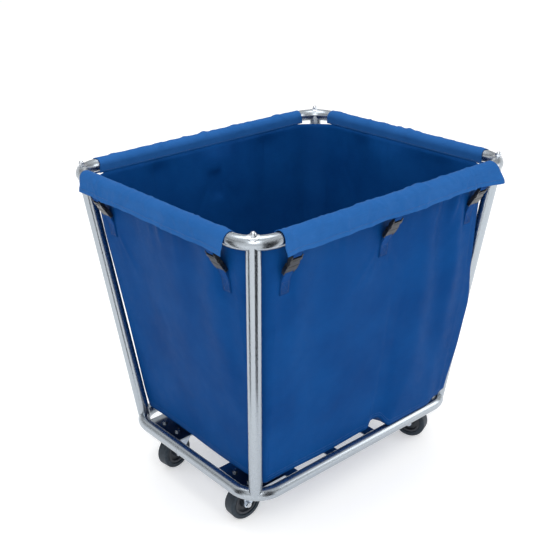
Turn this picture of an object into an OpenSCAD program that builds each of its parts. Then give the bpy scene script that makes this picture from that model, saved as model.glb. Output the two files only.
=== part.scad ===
// Laundry cart: a bent steel tube frame on four swivel casters, with a cloth bag
// that hangs inside it from four flaps wrapped over the top rim.
// Millimetres, +Z up, origin on the floor under the middle of the cart.
// X runs along the long sides, Y along the short sides, and -Y is the front.

/* [Frame] */
// Length of the top rim between its tube centrelines
rim_l = 818; // [720:1:1000]
// Width of the top rim between its tube centrelines
rim_w = 692; // [600:1:830]
// Length of the lower ring between its tube centrelines
ring_l = 700; // [600:1:840]
// Width of the lower ring between its tube centrelines
ring_w = 508; // [450:1:600]
// Height of the rim's centreline above the ring's
frame_h = 683; // [560:1:820]
// Outside diameter of the frame tube
tube_d = 32; // [25:0.5:38]
// Wall thickness of the frame tube
tube_wall = 1.2; // [1:0.1:2]
// Centreline radius of the corner bends
bend_r = 70; // [60:1:90]
// Length of the spigot inside each slip joint
spigot_l = 80; // [50:1:120]
// Wall thickness of a spigot
spigot_wall = 1.5; // [1:0.1:2.5]
// Open line at each slip joint
joint_gap = 0.6; // [0.3:0.1:1.5]
// Distance of the ring's slip joint from the middle of its short side
ring_joint_y = 38; // [0:1:60]

/* [Floor slats and corner plates] */
// Width of a slat
slat_w = 36; // [25:1:42]
// Thickness of a slat
slat_t = 3; // [2:0.5:4]
// Thickness of a corner plate
corner_plate_t = 4; // [3:0.5:6]
// Length of a corner plate along Y
corner_plate_w = 134; // [120:1:140]
// Height of the ring's centreline above the corner plates' top faces
ring_over_plate = 7; // [3:0.5:9]

/* [Casters] */
// Diameter of the wheel
wheel_d = 90; // [75:1:110]
// Width of the tyre
wheel_w = 32; // [25:1:36]
// Diameter of the hub inside the tyre
hub_d = 62; // [50:1:66]
// Horizontal distance from the swivel axis to the axle
trail = 36; // [28:1:40]
// Distance of the swivel axis from the ring's short side
swivel_in_x = 84; // [78:1:92]
// Distance of the swivel axis from the ring's long side
swivel_in_y = 104; // [100:1:120]
// Length of the caster's top plate
top_plate_l = 92; // [90:1:96]
// Width of the caster's top plate
top_plate_w = 76; // [74:1:84]
// Thickness of the caster's top plate
top_plate_t = 3; // [2.5:0.5:4]
// Bolt spacing along the top plate's length
bolt_pitch_x = 72; // [70:1:74]
// Bolt spacing along the top plate's width
bolt_pitch_y = 56; // [54:1:58]
// Plate bolt diameter
bolt_d = 8; // [6:1:8]
// Axle bolt diameter
axle_d = 8; // [6:1:10]
// Outside diameter of the sleeve that the wheel turns on
sleeve_d = 12; // [11:0.5:14]
// Kingpin diameter
kingpin_d = 12; // [10:0.5:14]
// Diameter of a race ball
ball_d = 5; // [4:0.5:6]
// Diameter of the circle of balls
race_d = 34; // [32:1:38]
// Number of balls in a race
ball_count = 16; // [12:1:18]
// Thickness of the fork's steel
fork_t = 3; // [2.5:0.5:3.5]
// Free height between the tyre and the fork's crown
crown_gap = 8.4; // [7:0.1:14]

/* [Corner fasteners] */
// Stud diameter
stud_d = 8; // [6:1:10]
// Length of the threaded plug in a post
plug_l = 26; // [20:1:40]
// How far the curved washer stays inside the tube's width, on each side
saddle_in = 3; // [2:0.5:5]
// Thickness of the curved washer
saddle_t = 1.5; // [1:0.1:2.5]
// Width across the flats of the dome nut
dome_nut_af = 13; // [11:1:17]
// Height of the dome nut's hexagon above the washer
dome_nut_h = 3.5; // [3:0.5:8]

/* [Bag] */
// Thickness of the bag's walls as closed solids
bag_wall = 2; // [1.5:0.1:3]
// Thickness of the flaps' cloth
flap_t = 1.5; // [1:0.1:2]
// Height from the rim's centreline down to the seam inside
seam_drop = 16.5; // [16:0.5:30]
// Height from the rim's centreline down to the flaps' outer hem
hem_drop = 31; // [24:1:60]
// Height of the bag's lowest edge above the corner plates
bag_clear = 30; // [20:1:60]
// Clear width between the bag's foot and the ring's centreline, on every side
bag_foot_in = 13; // [8:1:30]
// Corner radius of the bag at its top
bag_top_r = 75; // [70:1:95]
// Clear width between the bag's foot and the corner posts
bag_post_clear = 3; // [2:0.5:20]

/* [Buckles and webbing] */
// Width of the webbing
webbing_w = 25; // [20:1:30]
// Thickness of the webbing
webbing_t = 1.5; // [1:0.1:2]
// Distance of the outer buckles from the middle of a long side
buckle_long = 300; // [200:1:310]
// Distance of the buckles from the middle of a short side
buckle_short = 222; // [150:1:235]
// Clear width between a buckle and the bag's wall
buckle_clear = 0.3; // [0.1:0.1:6]
// Width of a buckle
buckle_w = 34; // [32:1:40]
// Thickness of a buckle
buckle_t = 10; // [9:0.5:12]

/* [Hidden] */
$fn = 48;
fine = 0.05;                                   // running clearance of a shaft in its bore
touch = 0.3;                                   // clearance of cloth round a tube
inch_of_cut = 1;                               // how far a cutting tool passes its work
tube_r = tube_d / 2;
bore_r = tube_r - tube_wall;

// Heights from the floor up
wheel_r = wheel_d / 2;
crown_z = wheel_d + crown_gap;                 // underside of the fork's crown
race_boss_h = 2;                               // height of the fork's race boss
race_gap = 1.2;                                // open line between the two race bosses
upper_boss_h = 4.4;                            // height of the top plate's race boss
boss_z = crown_z + fork_t + race_boss_h;       // top of the fork's race boss
top_plate_z = boss_z + race_gap + upper_boss_h;
corner_plate_z = top_plate_z + top_plate_t;
deck_z = corner_plate_z + corner_plate_t;      // top of the corner plates and the slats
ring_z = deck_z + ring_over_plate;
rim_z = ring_z + frame_h;

// Caster
swivel_x = ring_l / 2 - swivel_in_x;
swivel_y = ring_w / 2 - swivel_in_y;
leg_gap = 2.5;                                 // tyre to fork leg
leg_in = wheel_w / 2 + leg_gap;
leg_out = leg_in + fork_t;
leg_foot_r = 10;
crown_front = 20;                              // reach of the crown ahead of the swivel axis
crown_back = trail - 6;                        // reach of the crown on the wheel's side
fork_bend_r = 6;
kingpin_head_r = 11;
kingpin_head_h = 4;
race_in_r = race_d / 2 - 6;
race_out_r = race_d / 2 + 6;
ball_z = boss_z + race_gap / 2;

// Fastener sizes by bolt diameter
function across_flats(d) = 1.6 * d;
function head_h(d) = 0.65 * d;
function nut_h(d) = 0.8 * d;
washer_t = 1.6;
thread_proud = 0.5;

// Floor slats
slat_out_x = swivel_x - 63;
SLAT_X = [-slat_out_x, -slat_out_x / 3, slat_out_x / 3, slat_out_x];

// Corner posts run from the middle of a ring bend to the middle of a rim bend
bend_in = bend_r * (1 - sqrt(0.5));
post_foot = [ring_l / 2 - bend_in, ring_w / 2 - bend_in, ring_z];
post_head = [rim_l / 2 - bend_in, rim_w / 2 - bend_in, rim_z];
post_len = norm(post_head - post_foot);
saddle_d = tube_d - 2 * saddle_in;
saddle_top = tube_r + saddle_t;
dome_r = dome_nut_af / 2 - 0.6;
plug_top = tube_r + 5;                         // rim centreline to the plug's upper face

// Bag, as half sizes from the middle of the cart
cloth_in = tube_r + touch;                     // rail centreline to the cloth that wraps it
bag_top_x = rim_l / 2 - cloth_in;
bag_top_y = rim_w / 2 - cloth_in;
bag_foot_x = ring_l / 2 - bag_foot_in - tube_r - touch;
bag_foot_y = ring_w / 2 - bag_foot_in;
bag_z = deck_z + bag_clear;                    // underside of the bag
bag_edge_z = bag_z + 8;                        // where the walls turn under
bag_under_in = 10;                             // how far the underside is smaller
seam_z = rim_z - seam_drop;
bag_least_r = 20;                              // smallest corner radius of the foot

// Radius of a corner that passes k from a point lying a and b beyond the corner's two sides
function passing_r(a, b, k) = k - a - b + sqrt(2 * max(k - a, 0) * max(k - b, 0));
post_at_edge = post_foot + (post_head - post_foot) * (bag_edge_z - ring_z) / frame_h;
bag_foot_r = max(bag_least_r, passing_r(
    post_at_edge[0] - bag_foot_x, post_at_edge[1] - bag_foot_y, tube_r + bag_post_clear));
sheet = 0.01;                                  // thickness of a hull's outline

// Buckles and straps, in the plane across a rail: [inward distance, height over the rail]
loop_in = 1.6;                                 // webbing loop round a buckle's bar
loop_out = loop_in + webbing_t;
bar_r = 1.5;
socket_l = 31;
plug_part_l = 24;
cheek_gap = 1;
tab_l = 12;                                    // webbing from the hem to the socket's bar
body_step = 5.5;                               // buckle bar to the buckle's moulded body

// The buckles lean inward until the plug's bar is as near the bag's wall as its clearance lets it
buckle_reach = tab_l + webbing_t + socket_l + plug_part_l - 2 * bar_r;
wall_slope = min(bag_top_x - bag_foot_x, bag_top_y - bag_foot_y) / (seam_z - bag_edge_z);
wall_at_bar = cloth_in + wall_slope * (hem_drop + 0.85 * buckle_reach - seam_drop);
bar_in = wall_at_bar - buckle_t / 2 - buckle_clear;
buckle_lean = asin((bar_in + cloth_in - webbing_t / 2) / buckle_reach);

// Corners: name, side in X, side in Y, way that the caster trails
CORNERS = [
    ["front_left", -1, -1, 177],
    ["front_right", 1, -1, 291],
    ["rear_left", -1, 1, 188],
    ["rear_right", 1, 1, 150]
];
// Sides: name, turn, distance of the rail, length of the rail, bag half size at top and foot, buckles
SIDES = [
    ["front", 0, rim_w / 2, rim_l, bag_top_y, bag_foot_y, [-buckle_long, 0, buckle_long]],
    ["right", 90, rim_l / 2, rim_w, bag_top_x, bag_foot_x, [-buckle_short, buckle_short]],
    ["rear", 180, rim_w / 2, rim_l, bag_top_y, bag_foot_y, [-buckle_long, 0, buckle_long]],
    ["left", 270, rim_l / 2, rim_w, bag_top_x, bag_foot_x, [-buckle_short, buckle_short]]
];
CORNER_PARTS = ["post", "corner_plate", "caster_plate", "fork", "axle_bolt", "axle_nut",
    "axle_sleeve", "wheel_hub", "tyre"];

// ---- Placing helpers ----

// Mirrors a piece from the +X +Y corner to another one
module corner(c) {
    mirror([c[1] < 0 ? 1 : 0, 0, 0])
        mirror([0, c[2] < 0 ? 1 : 0, 0])
            children();
}

// Puts a caster's moving piece on its swivel axis, with +X as the way it trails
module swivel(c) {
    translate([c[1] * swivel_x, c[2] * swivel_y, 0])
        rotate(c[3])
            children();
}

// Stands +Z on the line from one point to another
module along(from, to) {
    d = to - from;
    translate(from)
        rotate([0, acos(d[2] / norm(d)), atan2(d[1], d[0])])
            children();
}

// Puts a piece on the axis of the +X +Y post, with its origin on the rim's centreline
module on_post_head() {
    along(post_foot, post_head)
        translate([0, 0, post_len])
            children();
}

// Lays an axis along Y
module across() {
    rotate([90, 0, 0])
        children();
}

// Turns a side's own frame, with -Y outward and the rail's centreline at Y = Z = 0
module side(s) {
    rotate(s[1])
        translate([0, -s[2], rim_z])
            children();
}

// Extrudes a section drawn across a rail, as [inward, up], along the rail
module along_rail(length) {
    rotate([90, 0, 90])
        translate([0, 0, -length / 2])
            linear_extrude(length)
                children();
}

// ---- Shape helpers ----

module ring_section(rad, wall) {
    difference() {
        circle(rad);
        circle(rad - wall);
    }
}

module hex(af, h) {
    cylinder(d = af / cos(30), h = h, $fn = 6);
}

module rounded_plate(l, w, r, t) {
    linear_extrude(t) rounded_rect(l, w, r);
}

module rounded_rect(l, w, r) {
    square([l, w - 2 * r], center = true);
    square([l - 2 * r, w], center = true);
    for (x = [-1, 1])
        for (y = [-1, 1])
            translate([x * (l / 2 - r), y * (w / 2 - r)])
                circle(r);
}

// One corner bend of a bent tube, as a solid bar of radius rad
module bend(l, w, rad) {
    translate([l / 2 - bend_r, w / 2 - bend_r, 0])
        rotate_extrude(angle = 90)
            translate([bend_r, 0])
                circle(rad);
}

// A tube bent round a rounded rectangle
module bent_tube(l, w) {
    for (a = [0, 180])
        rotate(a) {
            translate([0, -w / 2, 0])
                rotate([90, 0, 90])
                    translate([0, 0, -(l / 2 - bend_r)])
                        linear_extrude(l - 2 * bend_r)
                            ring_section(tube_r, tube_wall);
            translate([l / 2, 0, 0])
                across()
                    translate([0, 0, -(w / 2 - bend_r)])
                        linear_extrude(w - 2 * bend_r)
                            ring_section(tube_r, tube_wall);
        }
    for (c = CORNERS)
        corner(c)
            translate([l / 2 - bend_r, w / 2 - bend_r, 0])
                rotate_extrude(angle = 90)
                    translate([bend_r, 0])
                        ring_section(tube_r, tube_wall);
}

// A straight solid bar where a rail runs, for coping what meets it
module rail_bar(l, w) {
    for (y = [-1, 1])
        translate([0, y * w / 2, 0])
            rotate([0, 90, 0])
                cylinder(r = tube_r, h = l - 2 * bend_r, center = true);
    for (x = [-1, 1])
        translate([x * l / 2, 0, 0])
            across()
                cylinder(r = tube_r, h = w - 2 * bend_r, center = true);
}

module slip_joint_cut(l, y) {
    translate([-l / 2, y, 0])
        cube([2 * tube_d, joint_gap, 2 * tube_d], center = true);
}

// ---- Frame ----

module top_rim() {
    color("silver")
        difference() {
            translate([0, 0, rim_z])
                bent_tube(rim_l, rim_w);
            translate([0, 0, rim_z])
                slip_joint_cut(rim_l, 0);
            for (c = CORNERS)
                corner(c)
                    on_post_head()
                        cylinder(r = stud_d / 2 + touch, h = 3 * tube_d, center = true);
        }
}

module lower_ring() {
    color("silver")
        translate([0, 0, ring_z])
            difference() {
                bent_tube(ring_l, ring_w);
                slip_joint_cut(ring_l, ring_joint_y);
            }
}

module spigot() {
    across()
        difference() {
            cylinder(r = bore_r, h = spigot_l, center = true);
            cylinder(r = bore_r - spigot_wall, h = spigot_l + inch_of_cut, center = true);
        }
}

module tube_spigots() {
    color("gray") {
        translate([-rim_l / 2, 0, rim_z])
            spigot();
        translate([-ring_l / 2, ring_joint_y, ring_z])
            spigot();
    }
}

module post(c) {
    color("silver")
        corner(c)
            difference() {
                along(post_foot, post_head)
                    linear_extrude(post_len)
                        ring_section(tube_r, tube_wall);
                translate([0, 0, ring_z])
                    bend(ring_l, ring_w, tube_r);
                translate([0, 0, rim_z])
                    bend(rim_l, rim_w, tube_r);
            }
}

module post_plugs() {
    color("gray")
        for (c = CORNERS)
            corner(c)
                on_post_head()
                    translate([0, 0, -plug_top - plug_l])
                        difference() {
                            cylinder(r = bore_r, h = plug_l);
                            translate([0, 0, -inch_of_cut])
                                cylinder(d = stud_d, h = plug_l + 2 * inch_of_cut);
                        }
}

module rim_studs() {
    below = plug_top + plug_l;
    color("darkgray")
        for (c = CORNERS)
            corner(c)
                on_post_head()
                    translate([0, 0, -below])
                        cylinder(d = stud_d, h = below + saddle_top + dome_nut_h);
}

module saddle_washers() {
    color("silver")
        for (c = CORNERS)
            corner(c)
                difference() {
                    intersection() {
                        translate([0, 0, rim_z])
                            bend(rim_l, rim_w, saddle_top);
                        on_post_head()
                            cylinder(d = saddle_d, h = tube_d);
                    }
                    translate([0, 0, rim_z])
                        bend(rim_l, rim_w, tube_r);
                    on_post_head()
                        cylinder(r = stud_d / 2 + touch, h = 2 * tube_d);
                }
}

module dome_nuts() {
    color("silver")
        for (c = CORNERS)
            corner(c)
                difference() {
                    on_post_head() {
                        translate([0, 0, tube_r])
                            hex(dome_nut_af, saddle_t + dome_nut_h);
                        translate([0, 0, saddle_top + dome_nut_h])
                            intersection() {
                                sphere(dome_r);
                                cylinder(r = dome_r, h = dome_r);
                            }
                    }
                    translate([0, 0, rim_z])
                        bend(rim_l, rim_w, saddle_top);
                    on_post_head()
                        cylinder(d = stud_d, h = saddle_top + dome_nut_h);
                }
}

module floor_slats() {
    color("silver")
        difference() {
            for (x = SLAT_X)
                translate([x - slat_w / 2, -ring_w / 2, deck_z - slat_t])
                    cube([slat_w, ring_w, slat_t]);
            translate([0, 0, ring_z])
                rail_bar(ring_l, ring_w);
        }
}

module corner_plate(c) {
    from_x = slat_out_x + slat_w / 2;
    color("silver")
        corner(c)
            difference() {
                intersection() {
                    translate([from_x, swivel_y - corner_plate_w / 2, corner_plate_z])
                        cube([ring_l / 2 - from_x, corner_plate_w, corner_plate_t]);
                    translate([0, 0, corner_plate_z])
                        rounded_plate(ring_l, ring_w, bend_r, corner_plate_t);
                }
                translate([0, 0, ring_z]) {
                    rail_bar(ring_l, ring_w);
                    bend(ring_l, ring_w, tube_r);
                }
                plate_bolt_places()
                    cylinder(r = bolt_d / 2 + touch, h = 2 * corner_plate_z);
            }
}

// ---- Casters ----

// The four bolt places of the +X +Y caster
module plate_bolt_places() {
    translate([swivel_x, swivel_y, 0])
        for (x = [-1, 1])
            for (y = [-1, 1])
                translate([x * bolt_pitch_x / 2, y * bolt_pitch_y / 2, 0])
                    children();
}

module race_groove() {
    translate([0, 0, ball_z])
        rotate_extrude()
            translate([race_d / 2, 0])
                circle(ball_d / 2 + fine);
}

module caster_plate(c) {
    color("lightsteelblue")
        corner(c)
            difference() {
                translate([swivel_x, swivel_y, 0]) {
                    translate([0, 0, top_plate_z])
                        rounded_plate(top_plate_l, top_plate_w, 8, top_plate_t);
                    difference() {
                        translate([0, 0, top_plate_z - upper_boss_h])
                            cylinder(r = race_out_r, h = upper_boss_h);
                        race_groove();
                    }
                }
                translate([swivel_x, swivel_y, 0])
                    cylinder(d = kingpin_d, h = 2 * corner_plate_z);
                plate_bolt_places()
                    cylinder(r = bolt_d / 2 + touch, h = 2 * corner_plate_z);
            }
}

module kingpins() {
    head_z = crown_z - touch - kingpin_head_h;
    color("lightsteelblue")
        for (c = CORNERS)
            corner(c)
                translate([swivel_x, swivel_y, 0]) {
                    translate([0, 0, head_z])
                        cylinder(r = kingpin_head_r, h = kingpin_head_h);
                    translate([0, 0, head_z])
                        cylinder(d = kingpin_d, h = corner_plate_z - head_z);
                }
}

module race_balls() {
    color("silver")
        for (c = CORNERS)
            corner(c)
                translate([swivel_x, swivel_y, ball_z])
                    for (i = [0 : ball_count - 1])
                        rotate(i * 360 / ball_count)
                            translate([race_d / 2, 0, 0])
                                sphere(d = ball_d);
}

module plate_bolts() {
    from_z = top_plate_z - washer_t - nut_h(bolt_d) - thread_proud;
    color("lightgray")
        for (c = CORNERS)
            corner(c)
                plate_bolt_places() {
                    translate([0, 0, deck_z])
                        hex(across_flats(bolt_d), head_h(bolt_d));
                    translate([0, 0, from_z])
                        cylinder(d = bolt_d, h = deck_z - from_z);
                }
}

module plate_washers() {
    color("lightgray")
        for (c = CORNERS)
            corner(c)
                plate_bolt_places()
                    translate([0, 0, top_plate_z - washer_t])
                        difference() {
                            cylinder(d = across_flats(bolt_d), h = washer_t);
                            translate([0, 0, -inch_of_cut])
                                cylinder(r = bolt_d / 2 + touch, h = washer_t + 2 * inch_of_cut);
                        }
}

module plate_nuts() {
    nut_z = top_plate_z - washer_t - nut_h(bolt_d);
    color("lightgray")
        for (c = CORNERS)
            corner(c)
                plate_bolt_places()
                    translate([0, 0, nut_z])
                        difference() {
                            hex(across_flats(bolt_d), nut_h(bolt_d));
                            translate([0, 0, -inch_of_cut])
                                cylinder(d = bolt_d, h = nut_h(bolt_d) + 2 * inch_of_cut);
                        }
}

// The pressed channel of the fork, as [across, up], with its two upper bends
module fork_channel(half, top, r) {
    translate([-half, 0])
        square([2 * half, top - r]);
    translate([-half + r, 0])
        square([2 * (half - r), top]);
    for (x = [-1, 1])
        translate([x * (half - r), top - r])
            circle(r);
}

// Where the line from a point touches the leg's round foot, on the front side
function foot_touch(p) =
    let (foot = [trail, wheel_r], d = p - foot)
    let (a = atan2(d[1], d[0]) + acos(leg_foot_r / norm(d)))
    foot + leg_foot_r * [cos(a), sin(a)];

// The fork's side view, as [trailing, up]
module fork_side_view() {
    top = crown_z + fork_t;
    shoulder = [-crown_front, crown_z - 10];
    polygon([
        [trail + leg_foot_r, wheel_r],
        [trail + leg_foot_r, crown_z - 12],
        [crown_back, top],
        [-crown_front, top],
        shoulder,
        foot_touch(shoulder),
        [trail, wheel_r]
    ]);
    translate([trail, wheel_r])
        circle(leg_foot_r);
}

module fork(c) {
    top = crown_z + fork_t;
    reach = trail + leg_foot_r + crown_front + 2 * inch_of_cut;
    color("lightsteelblue")
        swivel(c)
            difference() {
                union() {
                    intersection() {
                        translate([-crown_front - inch_of_cut, 0, 0])
                            rotate([90, 0, 90])
                                linear_extrude(reach)
                                    difference() {
                                        fork_channel(leg_out, top, fork_bend_r);
                                        fork_channel(leg_in, crown_z, fork_bend_r - fork_t);
                                    }
                        across()
                            translate([0, 0, -leg_out - inch_of_cut])
                                linear_extrude(2 * (leg_out + inch_of_cut))
                                    fork_side_view();
                    }
                    translate([0, 0, crown_z])
                        cylinder(r = race_out_r - 1, h = fork_t + race_boss_h);
                }
                race_groove();
                cylinder(r = kingpin_d / 2 + fine, h = 2 * top);
                translate([trail, 0, wheel_r])
                    across()
                        cylinder(r = axle_d / 2 + fine, h = 3 * wheel_w, center = true);
            }
}

// Puts a piece on the axle, with +Z along it towards the bolt's head
module axle(c) {
    swivel(c)
        translate([trail, 0, wheel_r])
            across()
                children();
}

module axle_bolt(c) {
    end = leg_out + nut_h(axle_d) + thread_proud;
    color("lightgray")
        axle(c) {
            translate([0, 0, leg_out])
                hex(across_flats(axle_d), head_h(axle_d));
            translate([0, 0, -end])
                cylinder(d = axle_d, h = end + leg_out);
        }
}

module axle_nut(c) {
    color("lightgray")
        axle(c)
            translate([0, 0, -leg_out - nut_h(axle_d)])
                difference() {
                    hex(across_flats(axle_d), nut_h(axle_d));
                    translate([0, 0, -inch_of_cut])
                        cylinder(d = axle_d, h = nut_h(axle_d) + 2 * inch_of_cut);
                }
}

module axle_sleeve(c) {
    color("gray")
        axle(c)
            difference() {
                cylinder(d = sleeve_d, h = 2 * leg_in, center = true);
                cylinder(r = axle_d / 2 + fine, h = 3 * wheel_w, center = true);
            }
}

module wheel_hub(c) {
    boss_r = sleeve_d / 2 + 6;
    rim_r = hub_d / 2;
    side_gap = 0.6;
    boss_y = leg_in - side_gap;
    rim_y = wheel_w / 2 - 1.5;
    web_y = wheel_w / 4;
    color("darkslategray")
        axle(c)
            rotate_extrude()
                polygon([
                    [sleeve_d / 2 + fine, -boss_y],
                    [boss_r, -boss_y],
                    [boss_r + 2, -web_y],
                    [rim_r - 6, -web_y],
                    [rim_r - 5, -rim_y],
                    [rim_r, -rim_y],
                    [rim_r, rim_y],
                    [rim_r - 5, rim_y],
                    [rim_r - 6, web_y],
                    [boss_r + 2, web_y],
                    [boss_r, boss_y],
                    [sleeve_d / 2 + fine, boss_y]
                ]);
}

module tyre(c) {
    shoulder_r = 4;
    bead_y = wheel_w / 2 - 3;
    depth = wheel_r - hub_d / 2;
    color("dimgray")
        axle(c)
            rotate_extrude()
                union() {
                    translate([hub_d / 2, -bead_y])
                        square([depth - shoulder_r, 2 * bead_y]);
                    translate([hub_d / 2 + 3, -wheel_w / 2])
                        square([depth - shoulder_r - 3, wheel_w]);
                    translate([hub_d / 2, -wheel_w / 2 + shoulder_r])
                        square([depth, wheel_w - 2 * shoulder_r]);
                    for (y = [-1, 1])
                        translate([wheel_r - shoulder_r, y * (wheel_w / 2 - shoulder_r)])
                            circle(shoulder_r);
                }
}

// ---- Bag ----

module bag_outline(x, y, r, z) {
    translate([0, 0, z])
        for (sx = [-1, 1])
            for (sy = [-1, 1])
                translate([sx * (x - r), sy * (y - r), 0])
                    cylinder(r = r, h = sheet, $fn = 32);
}

// The bag's body, drawn in by inset on every side
module bag_solid(inset, top_z) {
    hull() {
        bag_outline(bag_top_x - inset, bag_top_y - inset, bag_top_r - inset, top_z - sheet);
        bag_outline(bag_foot_x - inset, bag_foot_y - inset, bag_foot_r - inset, bag_edge_z);
        bag_outline(bag_foot_x - bag_under_in - inset, bag_foot_y - bag_under_in - inset,
            bag_foot_r - bag_under_in - inset, bag_z + inset);
    }
}

module bag() {
    color("royalblue")
        difference() {
            bag_solid(0, seam_z);
            bag_solid(bag_wall, seam_z + 2 * sheet);
        }
}

// A flap's section: up inside the rail, over it and down outside to the hem
module flap_section() {
    difference() {
        union() {
            circle(cloth_in + flap_t);
            translate([0, -seam_drop])
                square([cloth_in + flap_t, seam_drop]);
            translate([-cloth_in - flap_t, -hem_drop])
                square([cloth_in + flap_t, hem_drop]);
        }
        circle(cloth_in);
        translate([-cloth_in, -hem_drop - inch_of_cut])
            square([2 * cloth_in, hem_drop + inch_of_cut]);
    }
}

module flap(s) {
    color("royalblue")
        side(s)
            along_rail(s[3] - 2 * bend_r)
                flap_section();
}

// ---- Buckles and webbing ----

// Where a buckle's two halves meet, across a rail: below the hem and leaning inward
hem_point = [-cloth_in + webbing_t / 2, -hem_drop];
lean = [sin(buckle_lean), -cos(buckle_lean)];
tab_bar = hem_point + (tab_l + webbing_t) * lean;
meet = tab_bar + (socket_l - bar_r) * lean;
strap_bar = meet + (plug_part_l - bar_r) * lean;

// The bag wall's outer face: inward distance from the rail's centreline at a height
function wall_in(s, z) =
    s[2] - s[4] + (s[4] - s[5]) * (seam_z - rim_z - z) / (seam_z - bag_edge_z);

module leaning(s, at) {
    side(s)
        for (x = s[6])
            translate([x, at[0], at[1]])
                rotate([buckle_lean, 0, 0])
                    children();
}

module webbing_loop() {
    difference() {
        circle(loop_out);
        circle(loop_in);
    }
}

// Webbing sewn behind a flap's hem and looped round the socket's bar
module flap_tabs() {
    patch = 10;
    color("royalblue")
        for (s = SIDES)
            side(s)
                for (x = s[6])
                    translate([x, 0, 0])
                        along_rail(webbing_w)
                            difference() {
                                union() {
                                    translate([-cloth_in, -hem_drop])
                                        square([webbing_t, patch]);
                                    polygon([
                                        [-cloth_in, -hem_drop],
                                        [-cloth_in + webbing_t, -hem_drop],
                                        tab_bar + webbing_t * [cos(buckle_lean), sin(buckle_lean)],
                                        tab_bar - webbing_t * [cos(buckle_lean), sin(buckle_lean)]
                                    ]);
                                    translate(tab_bar)
                                        circle(loop_out);
                                }
                                translate(tab_bar)
                                    circle(loop_in);
                            }
}

// Webbing looped round the plug's bar and sewn down the bag's wall
module wall_straps() {
    patch_top = strap_bar[1] - 22;
    patch_foot = patch_top - 34;
    across_strap = webbing_t * [cos(buckle_lean), sin(buckle_lean)];
    color("royalblue")
        for (s = SIDES)
            side(s)
                for (x = s[6])
                    translate([x, 0, 0])
                        along_rail(webbing_w)
                            difference() {
                                union() {
                                    polygon([
                                        strap_bar - across_strap,
                                        strap_bar + across_strap,
                                        [wall_in(s, patch_top), patch_top],
                                        [wall_in(s, patch_foot), patch_foot],
                                        [wall_in(s, patch_foot) - webbing_t, patch_foot],
                                        [wall_in(s, patch_top) - 2 * webbing_t, patch_top]
                                    ]);
                                    translate(strap_bar)
                                        circle(loop_out);
                                }
                                translate(strap_bar)
                                    circle(loop_in);
                            }
}

// A buckle half: two cheeks hold a bar, with the moulded body beyond; +Z is towards the body
module buckle_end(l) {
    cheek = (buckle_w - webbing_w) / 2 - cheek_gap;
    rotate([0, 90, 0])
        cylinder(r = bar_r, h = buckle_w - cheek, center = true);
    for (x = [-1, 1])
        translate([x * (buckle_w - cheek) / 2, 0, 0])
            rotate([0, 90, 0])
                linear_extrude(cheek, center = true)
                    rounded_rect(buckle_t, buckle_t * 0.8, 3);
    translate([-buckle_w / 2, -buckle_t / 2, body_step - 1])
        cube([buckle_w, buckle_t, l - bar_r - body_step + 1]);
    for (x = [-1, 1])
        translate([x * (buckle_w - cheek) / 2 - cheek / 2, -buckle_t * 0.3, 0])
            cube([cheek, buckle_t * 0.6, body_step]);
}

prong_w = 6;
prong_t = 4;
prong_l = 15;
prong_x = 9;

// The half on the flap's tab, with a cavity for the plug's prongs and two side windows
module buckle_sockets() {
    wall = 1.8;
    color("black")
        for (s = SIDES)
            leaning(s, meet)
                difference() {
                    translate([0, 0, socket_l - bar_r])
                        mirror([0, 0, 1])
                            buckle_end(socket_l);
                    translate([-buckle_w / 2 + wall, -buckle_t / 2 + wall, -inch_of_cut])
                        cube([buckle_w - 2 * wall, buckle_t - 2 * wall, prong_l + 4 + inch_of_cut]);
                    translate([-buckle_w, -prong_t / 2 - 0.5, 6])
                        cube([2 * buckle_w, prong_t + 1, 9]);
                }
}

// The half on the bag's strap, with two prongs that reach into the socket
module buckle_plugs() {
    color("black")
        for (s = SIDES)
            leaning(s, meet) {
                translate([0, 0, -(plug_part_l - bar_r)])
                    buckle_end(plug_part_l);
                for (x = [-1, 1])
                    translate([x * prong_x - prong_w / 2, -prong_t / 2, -inch_of_cut])
                        cube([prong_w, prong_t, prong_l + inch_of_cut]);
            }
}

// ---- Assembly ----

top_rim();
lower_ring();
tube_spigots();
floor_slats();
post_plugs();
rim_studs();
saddle_washers();
dome_nuts();
kingpins();
race_balls();
plate_bolts();
plate_washers();
plate_nuts();
bag();
flap_tabs();
wall_straps();
buckle_sockets();
buckle_plugs();
for (s = SIDES)
    flap(s);
for (c = CORNERS) {
    post(c);
    corner_plate(c);
    caster_plate(c);
    fork(c);
    axle_bolt(c);
    axle_nut(c);
    axle_sleeve(c);
    wheel_hub(c);
    tyre(c);
}
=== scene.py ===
"""Laundry cart: polished tube frame on swivel casters, with a blue cloth bag hung from flaps."""
import math
import bpy
import bmesh
import numpy as np
from mathutils import Matrix, Vector, noise


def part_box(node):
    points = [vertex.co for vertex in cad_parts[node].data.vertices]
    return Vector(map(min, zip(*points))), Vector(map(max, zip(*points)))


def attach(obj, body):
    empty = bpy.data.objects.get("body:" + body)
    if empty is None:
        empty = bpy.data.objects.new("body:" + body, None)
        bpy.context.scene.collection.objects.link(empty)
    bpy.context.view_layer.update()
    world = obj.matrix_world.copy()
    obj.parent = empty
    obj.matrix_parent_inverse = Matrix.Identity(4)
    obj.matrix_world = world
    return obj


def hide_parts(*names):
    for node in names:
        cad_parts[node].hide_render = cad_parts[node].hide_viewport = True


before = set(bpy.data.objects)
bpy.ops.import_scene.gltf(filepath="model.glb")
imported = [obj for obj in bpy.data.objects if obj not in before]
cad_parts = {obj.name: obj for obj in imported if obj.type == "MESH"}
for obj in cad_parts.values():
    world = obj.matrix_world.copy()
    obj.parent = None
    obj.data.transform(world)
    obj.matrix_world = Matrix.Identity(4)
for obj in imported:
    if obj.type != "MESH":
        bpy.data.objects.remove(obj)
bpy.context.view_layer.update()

scene = bpy.context.scene

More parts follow.
